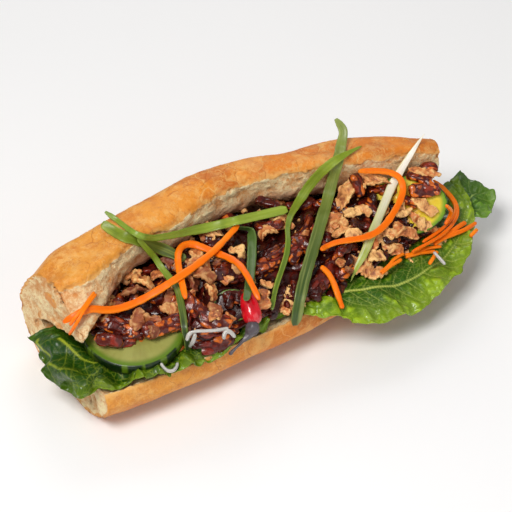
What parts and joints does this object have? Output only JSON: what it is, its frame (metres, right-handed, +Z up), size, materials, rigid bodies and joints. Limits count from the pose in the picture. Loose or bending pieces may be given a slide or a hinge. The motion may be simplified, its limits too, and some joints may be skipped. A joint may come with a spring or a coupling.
{
  "type": "tempeh sandwich",
  "caption": "Opened half baguette with a hinged back, filled with lettuce, cucumber and glazed tempeh with crisp flakes, and topped with shredded carrot and scallion.",
  "frame": {"origin": "middle of the small flat on the loaf's underside, which it rests on", "axes": "+X along the loaf, -Y towards the open front, +Z up"},
  "size_m": [0.2601, 0.1142, 0.0809],
  "materials": {
    "bread": null,
    "glazed_tempeh": "sticky dark glaze with crisp tan flakes",
    "lettuce": "fresh green leaf with pale veins, slightly glossy",
    "cucumber": "moist pale flesh in a dark green striped skin",
    "carrot": "raw, slightly moist",
    "scallion": "green leaf with lengthwise veins",
    "leek": "pale, with yellow-green edges",
    "noodle": "translucent white, moist",
    "chilli": "glossy red skin",
    "stalk": "dry dark stalk"
  },
  "bodies": {
    "root": {"baguette": "bread", "carrot_arc": "carrot", "carrot_bar": "carrot", "carrot_base": "carrot", "carrot_chip": "carrot", "carrot_curl": "carrot", "carrot_fork": "carrot", "carrot_hook": "carrot", "carrot_long": "carrot", "carrot_loop": "carrot", "carrot_rail": "carrot", "carrot_short": "carrot", "carrot_stub": "carrot", "chilli": "chilli", "chilli_stalk": "stalk", "cucumber_left": "cucumber", "cucumber_middle": "cucumber", "cucumber_right": "cucumber", "leek": "leek", "lettuce_left": "lettuce", "lettuce_right": "lettuce", "lettuce_tip": "lettuce", "noodle_arch": "noodle", "noodle_hook": "noodle", "noodle_long": "noodle", "noodle_loop": "noodle", "noodle_right": "noodle", "scallion_arch": "scallion", "scallion_bent": "scallion", "scallion_long": "scallion", "scallion_split": "scallion", "scallion_thin": "scallion", "scallion_wide": "scallion", "tempeh_heap": "glazed_tempeh"}
  },
  "joints": []
}
